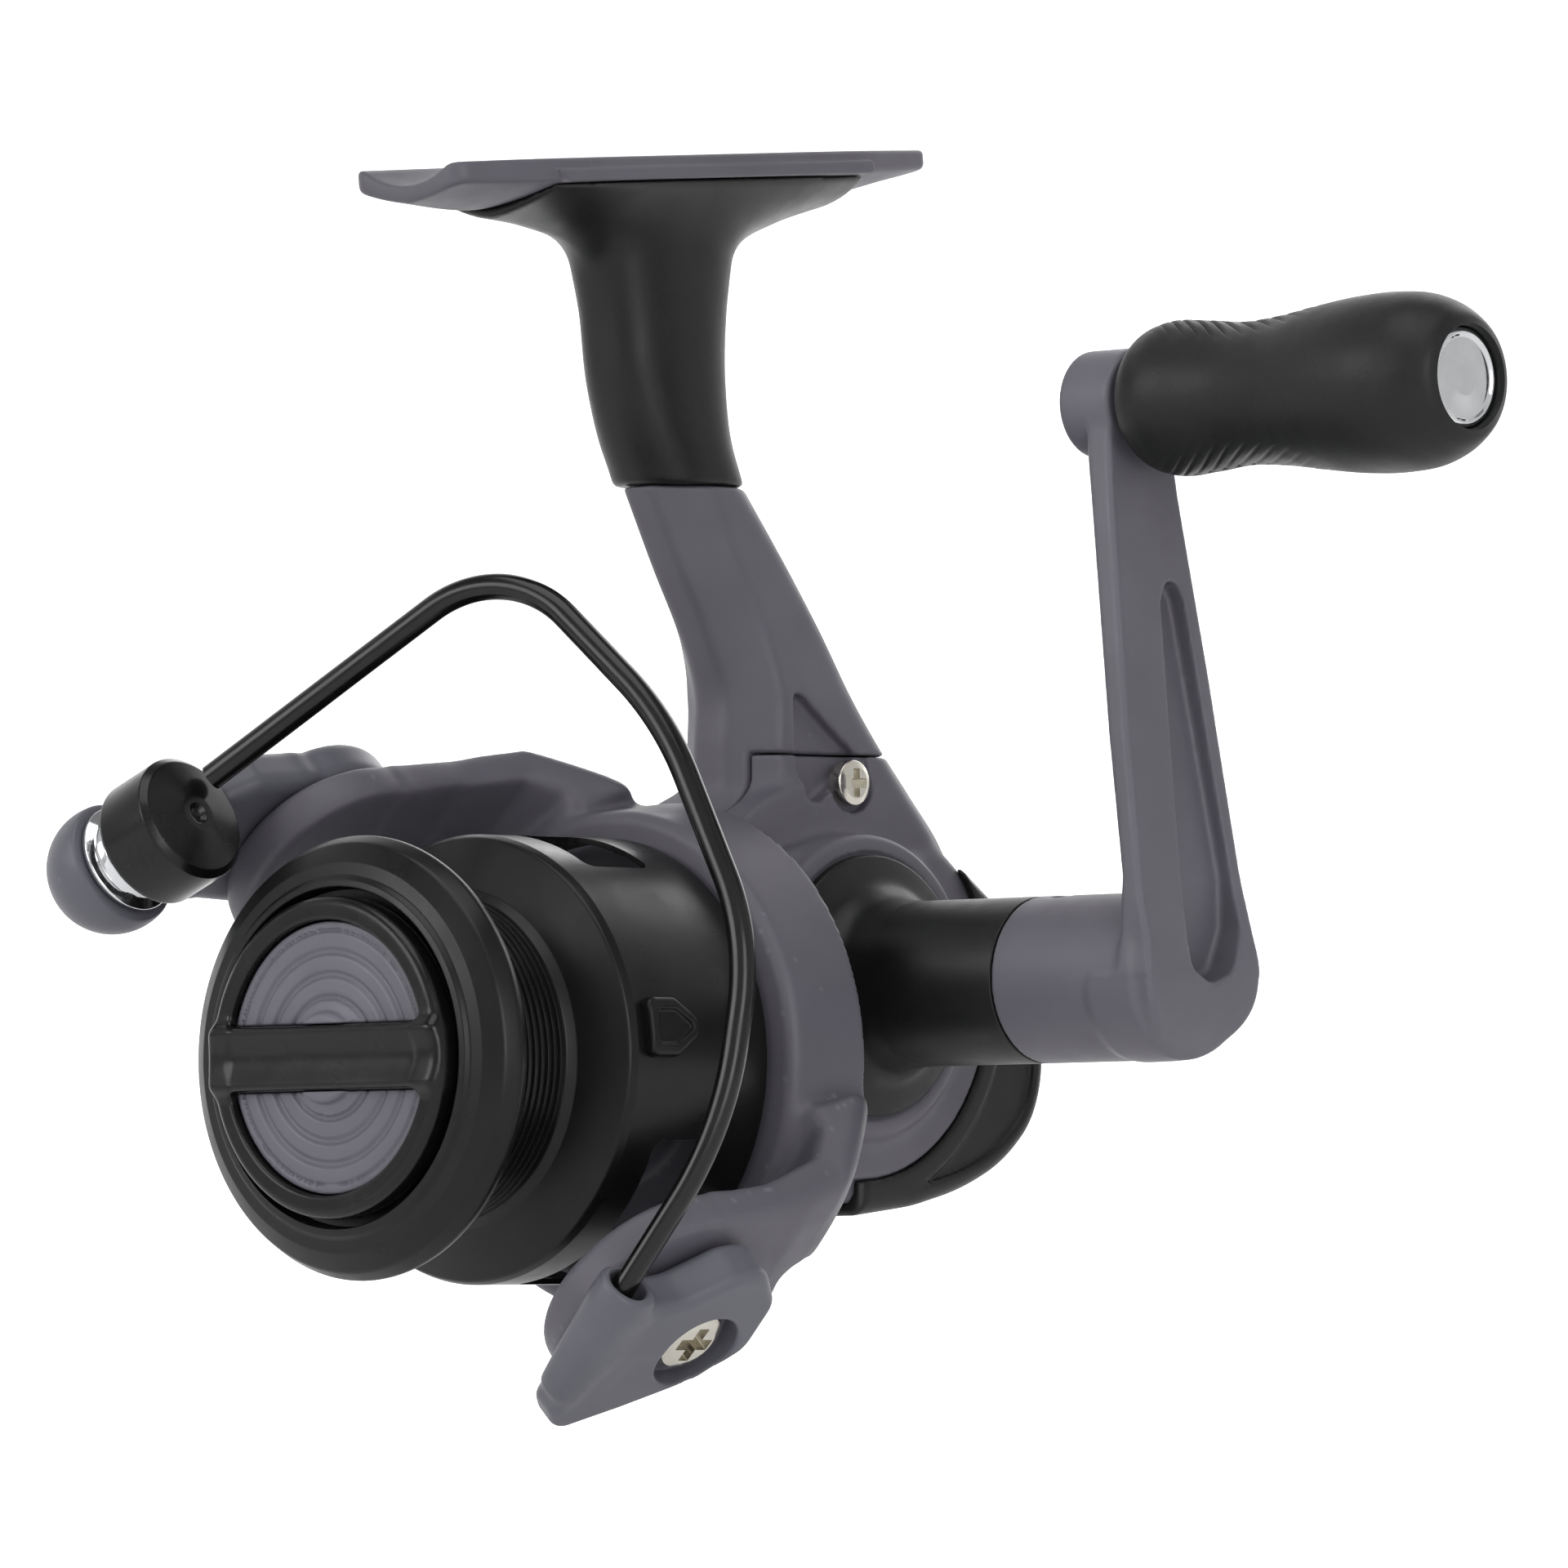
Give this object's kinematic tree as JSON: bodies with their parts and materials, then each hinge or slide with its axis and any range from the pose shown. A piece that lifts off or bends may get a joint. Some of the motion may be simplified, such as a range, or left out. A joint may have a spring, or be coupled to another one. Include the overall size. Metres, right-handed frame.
{
  "type": "spinning reel",
  "caption": "Small open-face spinning reel with rod foot, turning rotor and wire bail, front drag knob, crank handle and barrel knob.",
  "frame": {"origin": "centre of the rod foot's flat top face", "axes": "+Z out of the foot's top face towards the rod, -Y towards the spool's front (the rod tip end), +X towards the handle side"},
  "size_m": [0.1016, 0.0749, 0.097],
  "materials": {
    "grey_body": "moulded matte grey with a slight violet tint",
    "grey_rotor": "moulded matte grey",
    "grey_handle": "matte painted die casting",
    "grey_trim": "satin grey",
    "black_satin": "satin black",
    "black_rubber": "soft-touch black",
    "black_spool": "satin black",
    "black_gloss": "gloss black",
    "black_wire": "gloss black coated wire",
    "chrome": "polished",
    "screw_nickel": "bright nickel plate",
    "steel": "ground steel",
    "zinc": "die-cast zinc alloy",
    "brass": "machined",
    "nylon": "natural nylon",
    "felt": "oiled felt",
    "black_lever": "matte black"
  },
  "bodies": {
    "frame": {"foot": "grey_body", "body_shell": "grey_body", "side_cover": "grey_body", "rear_cap": "black_satin", "stem_grip": "black_satin", "handle_boss": "black_satin", "left_cap": "black_satin", "cover_screws": "screw_nickel", "drive_bushes": "brass", "pinion_bearing": "steel", "bearing_balls": "steel", "clutch_ring": "steel", "clutch_rollers": "steel", "guide_rod": "steel", "gear_post": "steel"},
    "handle": {"handle_shaft": "steel", "drive_gear": "zinc", "oscillation_driver": "zinc", "handle_arm": "grey_handle", "knob_post": "steel"},
    "knob": {"knob_grip": "black_rubber", "knob_cap": "chrome"},
    "rotor": {"rotor": "grey_rotor", "pinion_gear": "brass", "bearing_race": "steel", "clutch_sleeve": "steel", "rotor_nut": "brass", "bail_screws": "screw_nickel", "bail_spring": "steel"},
    "bail": {"bail_lever": "grey_rotor", "bail_wire": "black_wire", "roller_lever": "grey_rotor", "roller_pin": "steel", "roller_cone": "black_gloss"},
    "line_roller": {"line_roller": "chrome"},
    "shaft": {"main_shaft": "steel", "spool_washer": "steel", "click_wheel": "nylon", "drag_plates": "steel", "slider": "nylon", "slider_screw": "steel"},
    "spool": {"spool": "black_spool", "line_clip": "black_spool", "drag_felts": "felt", "drag_retainer": "steel", "click_pawl": "nylon"},
    "drag_knob": {"drag_knob": "black_gloss", "drag_knob_disc": "grey_trim", "drag_nut": "brass"},
    "oscillation": {"oscillation_gear": "nylon", "crank_pin": "steel"},
    "anti_reverse": {"anti_reverse_lever": "black_lever"}
  },
  "joints": [
    {"name": "handle_turn", "type": "hinge", "parent": "frame", "child": "handle", "pos_m": [0.02, 0.00866, -0.06569], "axis": [1, 0, 0], "continuous": true},
    {"name": "knob_turn", "type": "hinge", "parent": "handle", "child": "knob", "pos_m": [0.05, 0.01221, -0.02153], "axis": [1, 0, 0], "continuous": true},
    {"name": "rotor_spin", "type": "hinge", "parent": "frame", "child": "rotor", "pos_m": [0, -0.01175, -0.06996], "axis": [0, 0.9968, -0.0802], "continuous": true},
    {"name": "bail_swing", "type": "hinge", "parent": "rotor", "child": "bail", "pos_m": [-0.00106, -0.0226, -0.07015], "axis": [0.7071, -0.0567, -0.7048], "range_deg": [0, 110]},
    {"name": "roller_turn", "type": "hinge", "parent": "bail", "child": "line_roller", "pos_m": [-0.02189, -0.03916, -0.05148], "axis": [0.9205, 0.0313, 0.3895], "continuous": true},
    {"name": "spool_stroke", "type": "slide", "parent": "frame", "child": "shaft", "axis": [0, 0.9968, -0.0802], "range_m": [-0.01, 0]},
    {"name": "spool_drag", "type": "hinge", "parent": "shaft", "child": "spool", "pos_m": [0, -0.0267, -0.06876], "axis": [0, 0.9968, -0.0802], "continuous": true},
    {"name": "drag_knob_turn", "type": "hinge", "parent": "shaft", "child": "drag_knob", "pos_m": [0, -0.04065, -0.06764], "axis": [0, 0.9968, -0.0802], "range_deg": [-720, 360]},
    {"name": "oscillation_turn", "type": "hinge", "parent": "frame", "child": "oscillation", "pos_m": [-0.006, 0.01759, -0.06992], "axis": [1, 0, 0], "continuous": true},
    {"name": "anti_reverse_switch", "type": "hinge", "parent": "frame", "child": "anti_reverse", "pos_m": [-0.002, 0.00067, -0.0839], "axis": [1, 0, 0], "range_deg": [-14, 0]}
  ],
  "couplings": [
    {"joint": "rotor_spin", "follows": "handle_turn", "ratio": 5.2222},
    {"joint": "oscillation_turn", "follows": "handle_turn", "ratio": -0.56522}
  ]
}
